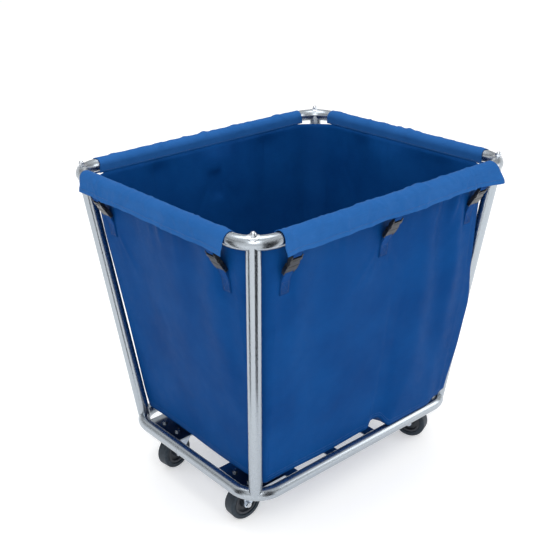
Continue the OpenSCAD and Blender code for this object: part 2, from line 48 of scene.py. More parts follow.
# ---------------------------------------------------------------- sizes from the frame
rim_low, rim_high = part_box("top_rim")
TUBE_R = (rim_high.z - rim_low.z) / 2
RIM_Z = (rim_high.z + rim_low.z) / 2
RAIL_X = rim_high.x - TUBE_R            # rim centreline, half length
RAIL_Y = rim_high.y - TUBE_R            # rim centreline, half width
flap_low, flap_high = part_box("flap_front")
FLAP_LONG = flap_high.x                 # half length of a long side's flap
FLAP_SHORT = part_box("flap_right")[1].y  # half length of a short side's flap
HEM_DROP = RIM_Z - flap_low.z           # rim centreline down to the outer hem
ring_low, ring_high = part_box("lower_ring")
RING_X, RING_Y = ring_high.x - TUBE_R, ring_high.y - TUBE_R
RING_Z = (ring_low.z + ring_high.z) / 2
POST_IN = 0.0205                        # a post stands this far inside the rails' crossing point
bag_low, bag_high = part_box("bag")
SEAM_DROP = RIM_Z - bag_high.z          # rim centreline down to the seam inside
BAG_TOP = (bag_high.x - 0.001, bag_high.y - 0.001, 0.074)     # half sizes and corner radius
BAG_FOOT = (0.3145, 0.241, 0.018)                             # the same, where the walls turn under
FOOT_Z = bag_low.z + 0.008
CLOTH = 0.0011                          # thickness of the bag's cloth
FLAP_CLOTH_T = 0.0016                   # thickness of the flaps' cloth
WEBBING_T = 0.0014
WEBBING_W = 0.025
THREAD_PITCH = 0.0013                   # distance between threads of the weave

BUCKLES_LONG, BUCKLES_SHORT = (-0.3, 0.0, 0.3), (-0.222, 0.222)     # places along a rail

# side: name, turn, rail distance, flap half length, buckle places
SIDES = [
    ("front", 0, RAIL_Y, FLAP_LONG, BUCKLES_LONG),
    ("right", 90, RAIL_X, FLAP_SHORT, BUCKLES_SHORT),
    ("rear", 180, RAIL_Y, FLAP_LONG, BUCKLES_LONG),
    ("left", 270, RAIL_X, FLAP_SHORT, BUCKLES_SHORT),
]


def side_matrix(turn, rail):
    """A side's own frame: x along the rail, y inward from its centreline, z up from it."""
    return Matrix.Rotation(math.radians(turn), 4, "Z") @ Matrix.Translation((0, -rail, RIM_Z))


# ---------------------------------------------------------------- camera
def make_camera():
    azimuth, elevation, roll = map(math.radians, (-40.51, 23.89, -1.12))
    back = Vector((math.sin(azimuth) * math.cos(elevation),
                   -math.cos(azimuth) * math.cos(elevation), math.sin(elevation)))
    right = Vector((math.cos(azimuth), math.sin(azimuth), 0))
    up = back.cross(right)
    right_r = math.cos(roll) * right + math.sin(roll) * up
    up_r = math.cos(roll) * up - math.sin(roll) * right
    data = bpy.data.cameras.new("camera")
    data.sensor_width = 36
    data.lens = 1.717 * data.sensor_width
    camera = bpy.data.objects.new("camera", data)
    scene.collection.objects.link(camera)
    turn = Matrix((right_r, up_r, back)).transposed().to_4x4()
    camera.matrix_world = Matrix.Translation((-1.4768, -1.6629, 1.5005)) @ turn
    scene.camera = camera


make_camera()


# ---------------------------------------------------------------- material helpers
class Finish:
    """A node material under construction: short calls for the nodes that every finish uses."""

    def __init__(self, name, **shader):
        self.material = bpy.data.materials.new(name)
        self.material.use_nodes = True
        self.tree = self.material.node_tree
        self.shader = self.tree.nodes["Principled BSDF"]
        for key, value in shader.items():
            self.shader.inputs[key.replace("_", " ")].default_value = value
        self.where = self.node("ShaderNodeTexCoord").outputs["Object"]

    def node(self, kind, **settings):
        made = self.tree.nodes.new(kind)
        for key, value in settings.items():
            setattr(made, key, value)
        return made

    def link(self, source, target):
        self.tree.links.new(source, target)

    def uv(self):
        return self.node("ShaderNodeUVMap", uv_map="cloth").outputs["UV"]

    def scaled(self, source, scale):
        mapping = self.node("ShaderNodeMapping")
        mapping.inputs["Scale"].default_value = scale
        self.link(source, mapping.inputs["Vector"])
        return mapping.outputs["Vector"]

    def noise(self, source, scale, detail=2.0, rough=0.5, distortion=0.0):
        made = self.node("ShaderNodeTexNoise")
        made.inputs["Scale"].default_value = scale
        made.inputs["Detail"].default_value = detail
        made.inputs["Roughness"].default_value = rough
        made.inputs["Distortion"].default_value = distortion
        self.link(source, made.inputs["Vector"])
        return made.outputs["Fac"]

    def wave(self, source, scale, direction):
        made = self.node("ShaderNodeTexWave", bands_direction=direction, wave_profile="SIN")
        made.inputs["Scale"].default_value = scale
        self.link(source, made.inputs["Vector"])
        return made.outputs["Fac"]

    def spread(self, source, low, high, out_low=0.0, out_high=1.0):
        made = self.node("ShaderNodeMapRange")
        for key, value in (("From Min", low), ("From Max", high), ("To Min", out_low), ("To Max", out_high)):
            made.inputs[key].default_value = value
        self.link(source, made.inputs["Value"])
        return made.outputs["Result"]

    def give(self, source, target):
        """Sets a socket to a value, or links it to another socket."""
        if isinstance(source, (tuple, float)):
            target.default_value = source
        else:
            self.link(source, target)

    def blend(self, factor, first, second):
        """Mixes two colours, each a tuple or a socket."""
        made = self.node("ShaderNodeMix", data_type="RGBA")
        for source, name in ((factor, "Factor"), (first, "A"), (second, "B")):
            self.give(source, made.inputs[name])
        return made.outputs["Result"]

    def math(self, operation, first, second):
        made = self.node("ShaderNodeMath", operation=operation)
        for source, index in ((first, 0), (second, 1)):
            self.give(source, made.inputs[index])
        return made.outputs["Value"]

    def bump(self, height, distance, strength=1.0, under=None):
        made = self.node("ShaderNodeBump")
        made.inputs["Distance"].default_value = distance
        made.inputs["Strength"].default_value = strength
        self.link(height, made.inputs["Height"])
        if under is not None:
            self.link(under, made.inputs["Normal"])
        return made.outputs["Normal"]

    def colour(self, source):
        self.link(source, self.shader.inputs["Base Color"])

    def rough(self, source):
        self.link(source, self.shader.inputs["Roughness"])

    def normal(self, source):
        self.link(source, self.shader.inputs["Normal"])


def shade(colour, factor):
    """A colour made darker or lighter."""
    return tuple(min(1, c * factor) for c in colour[:3]) + (1,)


def polished_steel(name, tone, lines, low, high):
    """Polished stainless with fine brushing, between two roughnesses."""
    f = Finish(name, Metallic=1.0)
    brushed = f.noise(f.scaled(f.where, lines), 1.0, 3.0, 0.6)
    cloudy = f.noise(f.where, 9.0, 3.0)
    f.colour(f.blend(cloudy, shade(tone, 0.93), tone))
    f.rough(f.math("ADD", f.spread(brushed, 0.3, 0.7, low, high), f.spread(cloudy, 0.3, 0.7, -0.02, 0.03)))
    f.normal(f.bump(brushed, 0.000012))
    return f.material


def plated(name, tone, roughness=0.3):
    """Zinc or bright plate: satin, with a soft mottle."""
    f = Finish(name, Metallic=1.0)
    mottle = f.noise(f.where, 160.0, 4.0, 0.6)
    fine = f.noise(f.where, 900.0, 2.0)
    f.colour(f.blend(mottle, shade(tone, 0.86), tone))
    f.rough(f.spread(mottle, 0.3, 0.7, roughness - 0.06, roughness + 0.1))
    f.normal(f.bump(fine, 0.00004))
    return f.material


def moulded(name, dark, light, roughness):
    """Moulded plastic with a fine spark-eroded grain."""
    f = Finish(name)
    grain = f.noise(f.where, 1600.0, 2.0)
    dust = f.noise(f.where, 60.0, 4.0, 0.6)
    f.colour(f.blend(f.spread(dust, 0.45, 0.75), dark, light))
    f.rough(f.spread(dust, 0.3, 0.7, roughness - 0.05, roughness + 0.12))
    f.normal(f.bump(grain, 0.00005))
    return f.material


def tyre_rubber():
    """Slate rubber, a little paler and scuffed where it rolls."""
    f = Finish("tyre_rubber")
    scuff = f.noise(f.where, 120.0, 5.0, 0.65)
    grain = f.noise(f.where, 1500.0, 2.0)
    f.shader.inputs["Specular IOR Level"].default_value = 0.3
    f.colour(f.blend(f.spread(scuff, 0.4, 0.75), (0.010, 0.018, 0.028, 1), (0.032, 0.046, 0.062, 1)))
    f.rough(f.spread(scuff, 0.3, 0.7, 0.42, 0.6))
    f.normal(f.bump(grain, 0.00008))
    return f.material


def bands(pitch):
    """Scale that makes a wave texture repeat with a pitch."""
    return 1.0 / pitch / 3.1416


def woven_cloth(name, deep, pale, roughness, weave_depth, gloss):
    """Coated plain weave on the piece's own cloth map, which is in metres."""
    f = Finish(name, Specular_IOR_Level=gloss)
    place = f.uv()
    warp = f.wave(place, bands(THREAD_PITCH), "X")
    weft = f.wave(place, bands(THREAD_PITCH), "Y")
    weave = f.math("MULTIPLY", warp, weft)
    slub = f.noise(f.scaled(place, (40.0, 700.0, 1.0)), 1.0, 3.0)
    cloudy = f.noise(f.where, 7.0, 4.0, 0.6)
    crease = f.noise(f.where, 34.0, 5.0, 0.65, 0.4)
    mixed = f.blend(f.spread(cloudy, 0.3, 0.72), deep, pale)
    worn = f.blend(f.spread(slub, 0.5, 0.9, 0.0, 0.22), mixed, shade(pale, 1.7))
    # painted shade: the colour turns towards a deeper blue in the low places between the threads, where the
    # weave's height is low
    f.colour(f.blend(f.spread(weave, 0.0, 1.0, 0.16, 0.0), worn, shade(deep, 0.4)))
    f.rough(f.spread(crease, 0.3, 0.7, roughness[0], roughness[1]))
    soft = f.bump(crease, 0.0010, 0.55)
    f.normal(f.bump(weave, weave_depth, 1.0, soft))
    return f.material


def ribbed_webbing(name, deep, pale):
    """Woven tape: close ribs across it on the cloth map."""
    f = Finish(name, Specular_IOR_Level=0.06)
    place = f.uv()
    ribs = f.wave(place, bands(0.0022), "Y")
    threads = f.wave(place, bands(0.0012), "X")
    cloudy = f.noise(f.where, 90.0, 3.0)
    # painted shade and highlight: deeper blue in the hollows between ribs and threads, paler blue on their
    # crests, and the pale blue varies at random
    f.colour(f.blend(f.math("MULTIPLY", ribs, threads), deep, f.blend(cloudy, pale, shade(pale, 0.8))))
    f.rough(f.spread(cloudy, 0.3, 0.7, 0.6, 0.75))
    f.normal(f.bump(ribs, 0.00025))
    return f.material


def sewing_thread(name, tone):
    f = Finish(name, Sheen_Weight=0.3)
    fuzz = f.noise(f.where, 2500.0, 2.0)
    f.colour(f.blend(fuzz, shade(tone, 0.75), tone))
    f.rough(f.spread(fuzz, 0.3, 0.7, 0.5, 0.7))
    f.normal(f.bump(fuzz, 0.00005))
    return f.material


# how much finer the brushing is along each of X, Y and Z
BRUSHED_ALL_WAYS = (500.0, 500.0, 500.0)
BRUSHED_ALONG_Y = (900.0, 3.0, 900.0)
BRUSHED_ALONG_Z = (900.0, 900.0, 3.0)
TUBE_STEEL = polished_steel("tube_steel", (0.40, 0.44, 0.48, 1), BRUSHED_ALL_WAYS, 0.22, 0.30)
POST_STEEL = polished_steel("post_steel", (0.40, 0.44, 0.48, 1), BRUSHED_ALONG_Z, 0.20, 0.30)
PLATE_STEEL = polished_steel("plate_steel", (0.38, 0.42, 0.47, 1), BRUSHED_ALONG_Y, 0.12, 0.24)
HIDDEN_STEEL = plated("hidden_steel", (0.42, 0.43, 0.45, 1), 0.4)
FASTENER_STEEL = plated("fastener_steel", (0.60, 0.63, 0.67, 1), 0.22)
ZINC = plated("zinc", (0.66, 0.74, 0.84, 1), 0.28)
BALL_STEEL = plated("ball_steel", (0.8, 0.81, 0.83, 1), 0.12)
BUCKLE_PLASTIC = moulded("buckle_plastic", (0.004, 0.005, 0.007, 1), (0.014, 0.016, 0.020, 1), 0.30)
HUB_PLASTIC = moulded("hub_plastic", (0.016, 0.020, 0.028, 1), (0.035, 0.042, 0.055, 1), 0.42)
RUBBER = tyre_rubber()
BAG_CLOTH = woven_cloth("bag_cloth", (0.002, 0.044, 0.184, 1), (0.004, 0.063, 0.237, 1),
                        roughness=(0.42, 0.56), weave_depth=0.00010, gloss=0.025)
FLAP_CLOTH = woven_cloth("flap_cloth", (0.014, 0.096, 0.310, 1), (0.024, 0.124, 0.375, 1),
                         roughness=(0.6, 0.75), weave_depth=0.00014, gloss=0.05)
WEBBING = ribbed_webbing("webbing", (0.003, 0.045, 0.19, 1), (0.006, 0.075, 0.28, 1))
FLAP_THREAD = sewing_thread("flap_thread", (0.006, 0.045, 0.17, 1))
BAG_THREAD = sewing_thread("bag_thread", (0.02, 0.10, 0.34, 1))

CAD_FINISH = {
    "top_rim": TUBE_STEEL, "lower_ring": TUBE_STEEL, "post": POST_STEEL, "tube_spigots": HIDDEN_STEEL,
    "post_plugs": HIDDEN_STEEL, "rim_studs": HIDDEN_STEEL, "axle_sleeve": HIDDEN_STEEL,
    "floor_slats": PLATE_STEEL, "corner_plate": PLATE_STEEL, "saddle_washers": FASTENER_STEEL,
    "dome_nuts": FASTENER_STEEL, "plate_bolts": FASTENER_STEEL, "plate_washers": FASTENER_STEEL,
    "plate_nuts": FASTENER_STEEL, "axle_bolt": FASTENER_STEEL, "axle_nut": FASTENER_STEEL,
    "kingpins": ZINC, "caster_plate": ZINC, "fork": ZINC, "race_balls": BALL_STEEL,
    "buckle": BUCKLE_PLASTIC, "wheel_hub": HUB_PLASTIC, "tyre": RUBBER,
}


def finish_cad_nodes():
    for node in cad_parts:
        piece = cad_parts[node]
        for start in sorted(CAD_FINISH, key=len, reverse=True):
            if node.startswith(start):
                for slot in piece.material_slots:
                    slot.material = CAD_FINISH[start]
                break


finish_cad_nodes()


# ---------------------------------------------------------------- mesh helpers
def piece_from(name, verts, faces, material, uvs=None, smooth=True):
    mesh = bpy.data.meshes.new(name)
    mesh.from_pydata([tuple(v) for v in verts], [], faces)
    mesh.materials.append(material)
    if uvs is not None:
        layer = mesh.uv_layers.new(name="cloth")
        corners = np.empty(len(mesh.loops), dtype=np.int32)
        mesh.loops.foreach_get("vertex_index", corners)
        layer.data.foreach_set("uv", np.asarray(uvs, dtype=np.float32)[corners].ravel())
    if smooth:
        mesh.polygons.foreach_set("use_smooth", [True] * len(mesh.polygons))
    mesh.update()
    piece = bpy.data.objects.new(name, mesh)
    scene.collection.objects.link(piece)
    return piece


def grid_faces(rows, columns, closed=False):
    faces = []
    last = columns if closed else columns - 1
    for r in range(rows - 1):
        for c in range(last):
            d = (c + 1) % columns
            faces.append((r * columns + c, (r + 1) * columns + c, (r + 1) * columns + d, r * columns + d))
    return faces


def thicken(piece, thickness):
    wall = piece.modifiers.new("cloth", "SOLIDIFY")
    wall.thickness = thickness
    wall.offset = 0.0
    wall.use_even_offset = False
    settle(piece)


def settle(piece):
    """Turns a piece and its modifiers into a plain mesh."""
    bpy.context.view_layer.update()
    shown = piece.evaluated_get(bpy.context.evaluated_depsgraph_get())
    made = bpy.data.meshes.new_from_object(shown)
    piece.modifiers.clear()
    piece.data = made


def smooth_noise(points, scale, seed):
    """Smooth noise from -1 to 1 at each point."""
    shift = Vector((seed * 7.3, seed * 3.1, seed * 5.7))
    return np.array([noise.noise(Vector(p) * scale + shift) for p in points])


def bell(x, centre, width):
    return np.exp(-((x - centre) / width) ** 2)


def step(x, low, high):
    t = np.clip((x - low) / (high - low), 0, 1)
    return t * t * (3 - 2 * t)


# ---------------------------------------------------------------- bag
COLUMNS_LONG, COLUMNS_SHORT, COLUMNS_CORNER = 120, 84, 28
ROWS_WALL, ROWS_TURN, ROWS_FLOOR = 78, 5, 12
SEAM_Z = RIM_Z - SEAM_DROP
FLOOR_SAG = 0.010
PLEATED = 4                             # the front right corner; 0 to 3 are sides, 4 to 7 corners
POST_CLEAR = 0.0028                     # from the bag to a post
STEP_X = 0.040                          # where the front of the foot steps up onto the ring
WALL_TIMES = (1.5, 2.4, 2.4, 2.4)       # strength of the long folds on each side


def distances_along(points):
    """Distance of each point from the first, along the line through them all."""
    return np.concatenate([[0], np.cumsum(np.linalg.norm(np.diff(points, axis=0), axis=1))])


def outline(hx, hy, r):
    """A rounded rectangle, counterclockwise from the front's left end.

    Gives points, outward normals, which side or corner each is on, and its place along that side or
    its angle round that corner.
    """
    points, normals, sides, along = [], [], [], []
    flats = [(0, hx - r, hy, COLUMNS_LONG), (90, hy - r, hx, COLUMNS_SHORT),
             (180, hx - r, hy, COLUMNS_LONG), (270, hy - r, hx, COLUMNS_SHORT)]
    for k, (turn, half, far, count) in enumerate(flats):
        c, s = math.cos(math.radians(turn)), math.sin(math.radians(turn))
        for t in np.linspace(-half, half, count):
            points.append((c * t + s * far, s * t - c * far))
            normals.append((s, -c))
            sides.append(k)
            along.append(t)
        for a in np.linspace(0, 90, COLUMNS_CORNER + 2)[1:-1]:
            b = math.radians(turn - 90 + a)
            centre = (c * half + s * (far - r), s * half - c * (far - r))
            points.append((centre[0] + r * math.cos(b), centre[1] + r * math.sin(b)))
            normals.append((math.cos(b), math.sin(b)))
            sides.append(k + 4)
            along.append(a)
    return np.array(points), np.array(normals), np.array(sides), np.array(along)


def post_at(z):
    """A post's axis at a height, as distances along X and Y from the middle of the cart."""
    share = (z - RING_Z) / (RIM_Z - RING_Z)
    return RING_X + (RAIL_X - RING_X) * share - POST_IN, RING_Y + (RAIL_Y - RING_Y) * share - POST_IN


def passing_radius(hx, hy, z):
    """Corner radius that takes the bag just inside a post at a height."""
    px, py = post_at(z)
    reach = TUBE_R + POST_CLEAR
    a, b = reach - (px - hx), reach - (py - hy)
    return max(BAG_FOOT[2], a + b - reach + math.sqrt(max(0.0, 2 * a * b)))


def foot_height(side, x):
    """How far the foot's fold is above or below its level along each side."""
    if side == 0:
        # the left part hangs inside the ring; the right part lies on top of it, past a short step
        rise = 0.021 * step(x, STEP_X, STEP_X + 0.012)
        settle_back = 0.028 * step(x, STEP_X + 0.036, STEP_X + 0.060)
        right_end = 0.010 * step(x, 0.25, 0.285)
        ripple = 0.0018 * np.sin(x * 21 + 0.6) * (1 - step(x, 0.0, 0.05))
        return -0.006 + rise - settle_back + right_end + ripple
    wander = {1: 0.4, 2: 1.9, 3: 2.6}[side]
    return 0.0025 * np.sin(x * 13 + wander) - 0.004 * bell(x, 0.05, 0.12)


def on_ring(x):
    """Where the front of the bag lies on the ring, from 0 to 1."""
    return step(x, 0.070, 0.100)


def front_swell(x, z):
    """How far the right part of the front wall is pushed out, over the ring and past the post."""
    high = np.clip(z - 0.14, 0, 1)
    over_ring = 0.021 * step(x, 0.066 - 0.3 * high, 0.104 + 0.35 * high) - 0.005 * step(x, 0.24, 0.29)
    over_ring = over_ring * (1 - step(z, 0.14, 0.60))
    past_post = 0.0150 * step(x, 0.02, 0.30) * pleat_share(z)[0]
    return np.maximum(over_ring, past_post)


def pleat_share(z):
    """How far the pleat at the front right corner has opened: first outward, then along the front."""
    return 1 - step(z, 0.50, 0.72), 1 - step(z, 0.41, 0.55)


def pleat(first, last, z):
    """Plan of the front right corner where spare cloth folds out in front of the post."""
    px, py = post_at(z)
    _, drawn = pleat_share(z)
    tip = px + 0.004 - 0.012 * (1 - step(z, 0.165, 0.30))
    tip = (px - 0.026) * (1 - drawn) + tip * drawn
    way = [first, (px - 0.027, -py - 0.0190), (tip, -py - 0.0200), (tip - 0.001, -py - 0.0182),
           (px - 0.027 + 0.006 * drawn, -py - 0.0170), (px - 0.0245, -py - 0.005),
           (px - 0.022, -py + 0.010), last]
    way = np.array(way)
    run = distances_along(way)
    at = np.linspace(0, run[-1], COLUMNS_CORNER + 2)[1:-1]
    points = np.column_stack([np.interp(at, run, way[:, 0]), np.interp(at, run, way[:, 1])])
    soft = points.copy()
    soft[1:-1] = 0.25 * points[:-2] + 0.5 * points[1:-1] + 0.25 * points[2:]
    return soft


def wall_relief(side, x, depth):
    """How far the cloth stands out from a flat wall, for a side, along it and down from the rim seam."""
    rng = np.random.default_rng(40 + side)
    half = 0.33 if side in (0, 2) else 0.26
    out = np.zeros_like(x)
    # long soft folds that hang from the rim
    for centre, size, width, reach in {
        0: [(-0.19, -0.0035, 0.045, 0.50), (0.02, -0.003, 0.05, 0.35), (0.155, 0.0055, 0.030, 0.55),
            (0.215, -0.0045, 0.028, 0.50), (0.265, 0.005, 0.024, 0.45), (-0.26, 0.003, 0.03, 0.30)],
        1: [(-0.14, 0.004, 0.04, 0.5), (0.03, -0.004, 0.06, 0.5), (0.15, 0.003, 0.03, 0.4)],
        2: [(-0.2, 0.004, 0.05, 0.5), (-0.02, -0.004, 0.05, 0.5), (0.17, 0.004, 0.04, 0.5)],
        3: [(-0.13, -0.003, 0.05, 0.45), (0.04, 0.003, 0.06, 0.5), (0.17, 0.004, 0.035, 0.4)],
    }[side]:
        drift = centre + 0.02 * (depth - 0.2)
        ridge = np.exp(-((x - drift) / (width * (1 + depth))) ** 2)
        ends = step(depth, -0.02, 0.05) * (1 - step(depth, reach * 0.6, reach * 1.25))
        out += WALL_TIMES[side] * size * ridge * ends
    # gathers under the hem, closer together towards the right of the front
    for _ in range(26 if side in (0, 2) else 18):
        centre = half * (1 - 1.7 * rng.random() ** 1.6) if side == 0 else rng.uniform(-half, half)
        width = rng.uniform(0.005, 0.011)
        reach = rng.uniform(0.05, 0.17)
        size = rng.uniform(0.0010, 0.0036) * (1.0 if side == 0 and centre > 0.02 else 0.6)
        lean = rng.uniform(-0.12, 0.12)
        out += size * np.exp(-((x - centre - lean * depth) / (width * (1 + 4 * depth))) ** 2) * (
            1 - step(depth, reach * 0.3, reach))
    # the wall is held flat by the ring of cloth at its foot
    out += 0.004 * np.sin(math.pi * np.clip(depth / 0.64, 0, 1)) * np.cos(x / half * 1.3)
    return out


def strap_patch(side, x, depth):
    """Where a strap is sewn flat on the wall, from 0 to 1."""
    held = np.zeros_like(x)
    for place in SIDES[side][4]:
        held = np.maximum(held, (1 - step(np.abs(x - place), 0.014, 0.030)) * step(depth, 0.062, 0.078) * (
            1 - step(depth, 0.128, 0.150)))
    return held


def drag_lines(side, x, depth):
    """Creases that fan down from each buckle's strap."""
    out = np.zeros_like(x)
    rng = np.random.default_rng(90 + side)
    for place in SIDES[side][4]:
        for angle in (-0.75, -0.32, 0.12, 0.55):
            bend = angle + rng.uniform(-0.08, 0.08)
            drop = depth - 0.07
            off = x - place - bend * drop
            reach = rng.uniform(0.10, 0.2)
            out += rng.uniform(0.0012, 0.0026) * np.exp(-(off / (0.004 + 0.05 * np.abs(drop))) ** 2) * step(
                drop, 0, 0.02) * (1 - step(drop, reach * 0.3, reach))
    return out


def foot_plan(sides, along):
    """For each column of the bag, how far its foot is lifted and how far it rests on the ring."""
    columns = len(sides)
    corner = sides == PLEATED
    lift, rest = np.zeros(columns), np.zeros(columns)
    for k in range(4):
        here = sides == k
        lift[here] = foot_height(k, along[here])
    rest[sides == 0] = on_ring(along[sides == 0])
    for k in range(4):
        here = np.where(sides == k + 4)[0]
        before, after = lift[here[0] - 1], lift[(here[-1] + 1) % columns]
        lift[here] = np.linspace(before, after, len(here))
    lift[corner] += 0.011 * np.sin(np.linspace(0, math.pi, corner.sum())) ** 0.5
    rest[corner] = 1 - step(np.linspace(0, 1, corner.sum()), 0.5, 1.0)
    return lift, rest


def wall_row(g, foot_lift):
    """One level of the wall, g from 0 at the seam to 1 at the foot: points, heights and held patches."""
    share = g ** 0.92
    hx, hy = [a + (b - a) * share for a, b in zip(BAG_TOP[:2], BAG_FOOT[:2])]
    level = SEAM_Z + (FOOT_Z - SEAM_Z) * share
    spare = BAG_TOP[2] - passing_radius(BAG_TOP[0], BAG_TOP[1], SEAM_Z)
    radius = passing_radius(hx, hy, level) + spare * (1 - step(SEAM_Z - level, 0.0, 0.16))
    flat, normals, sides, place = outline(hx, hy, radius)
    z = SEAM_Z + (FOOT_Z + foot_lift - SEAM_Z) * share
    depth = SEAM_Z - z
    out, patch = np.zeros(len(sides)), np.zeros(len(sides))
    for k in range(4):
        here = sides == k
        x, down = place[here], depth[here]
        fade = 1 - step(np.abs(x), 0.78 * np.abs(x).max(), np.abs(x).max())
        out[here] = (wall_relief(k, x, down) + drag_lines(k, x, down)) * (0.25 + 0.75 * fade)
        patch[here] = strap_patch(k, x, down)
        here = sides == k + 4
        turn = np.sin(math.pi * place[here] / 90)
        out[here] = 0.0003 - 0.0022 * turn * math.sin(math.pi * min(1, g * 1.1))
        # between the flaps the cloth's edge is free and dips
        z[here] -= 0.004 * turn * max(0, 1 - g * 12)
    out *= step(1 - g, 0, 0.06) * (0.15 + 0.85 * step(g, 0, 0.03)) * (1 - patch)
    front = sides == 0
    out[front] += front_swell(place[front], z[front])
    points = flat + normals * out[:, None]
    opened = pleat_share(level)[0]
    if opened > 0:
        here = np.where(sides == PLEATED)[0]
        folded = pleat(points[here[0] - 1], points[here[-1] + 1], level)
        points[here] = points[here] * (1 - opened) + folded * opened
    return np.column_stack([points, z]), depth, patch


def make_wall(sides, foot_lift):
    """The bag's wall from the seam down to the foot, and each point's depth below the seam."""
    levels = np.linspace(0, 1, ROWS_WALL)
    points, depths, patches = zip(*[wall_row(g, foot_lift) for g in levels])
    wall = np.concatenate(points)
    relief = 0.0022 * smooth_noise(wall, 7.0, 1) + 0.0009 * smooth_noise(wall, 19.0, 2)
    level = np.repeat(levels, len(sides))
    corner_share = np.tile(np.where(sides > 3, 0.15, 1.0), ROWS_WALL)
    relief *= step(level, 0, 0.05) * step(1 - level, 0, 0.04) * corner_share * (1 - np.concatenate(patches))
    wall[:, :2] += np.tile(outline(*BAG_FOOT)[1], (ROWS_WALL, 1)) * relief[:, None]
    return wall, depths


def floor_rows(foot, rest):
    """The turn at the foot and then the floor: each row's points, and its place down the cloth map."""
    for j in range(1, ROWS_TURN):
        t = j / (ROWS_TURN - 1)
        a = t * math.pi / 2
        shrink, drop = 0.006 * (1 - math.cos(a)) + 0.002 * math.sin(a), 0.007 * math.sin(a)
        moved = ((1 - rest) + rest * t ** 1.5)[:, None]
        inner = foot[:, :2] * (1 - moved) + outline(*[s - shrink for s in BAG_FOOT])[0] * moved
        yield np.column_stack([inner, foot[:, 2] - drop * (1 - rest)]), -0.66 - drop
    for j in range(1, ROWS_FLOOR + 1):
        g = j / ROWS_FLOOR
        keep = 1 - 0.96 * g
        inner = outline(*[(s - 0.008) * keep for s in BAG_FOOT])[0]
        z = (foot[:, 2] - 0.007 * (1 - rest)) * (1 - g) ** 2 + bag_low.z * (1 - (1 - g) ** 2)
        z -= FLOOR_SAG * math.sin(g * math.pi / 2) ** 2
        yield np.column_stack([inner, z]), -0.67 - 0.24 * g


def make_bag():
    """The bag as one cloth, and the lines of its foot's stitches."""
    _, normals, sides, along = outline(*BAG_FOOT)
    columns = len(sides)
    foot_lift, rest = foot_plan(sides, along)
    perimeter = distances_along(outline(*BAG_TOP)[0])
    wall, depths = make_wall(sides, foot_lift)
    rows, uvs = [wall], [np.column_stack([perimeter, -depth]) for depth in depths]
    for row, place in floor_rows(wall[-columns:], rest):
        rows.append(row)
        uvs.append(np.column_stack([perimeter, np.full(columns, place)]))
    total = ROWS_WALL + ROWS_TURN + ROWS_FLOOR - 1
    faces = grid_faces(total, columns, closed=True)
    faces.append(tuple(range((total - 1) * columns, total * columns))[::-1])
    piece = piece_from("bag_body", np.concatenate(rows), faces, BAG_CLOTH, np.concatenate(uvs))
    tidy_normals(piece)
    thicken(piece, CLOTH)
    # two rows of stitches hold the floor to the walls, just above the fold
    sewing = []
    for up in (2, 3):
        row = wall[-up * columns:][:columns]
        lifted = row[:, :2] + normals * (CLOTH / 2 + 0.0003)
        for side in range(4):
            sewing.append([Vector((x, y, z)) for (x, y), z, k in zip(lifted, row[:, 2], sides) if k == side])
    return piece, sewing


def tidy_normals(piece):
    mesh = bmesh.new()
    mesh.from_mesh(piece.data)
    bmesh.ops.recalc_face_normals(mesh, faces=mesh.faces)
    mesh.to_mesh(piece.data)
    mesh.free()


# ---------------------------------------------------------------- flaps
WRAP_R = TUBE_R + 0.0012                # rail centreline to the middle of the flap's cloth
ARC = math.pi * WRAP_R
HEM_FOLD = 0.0125                       # width of the hem's double fold


def flap_length():
    return SEAM_DROP + ARC + HEM_DROP


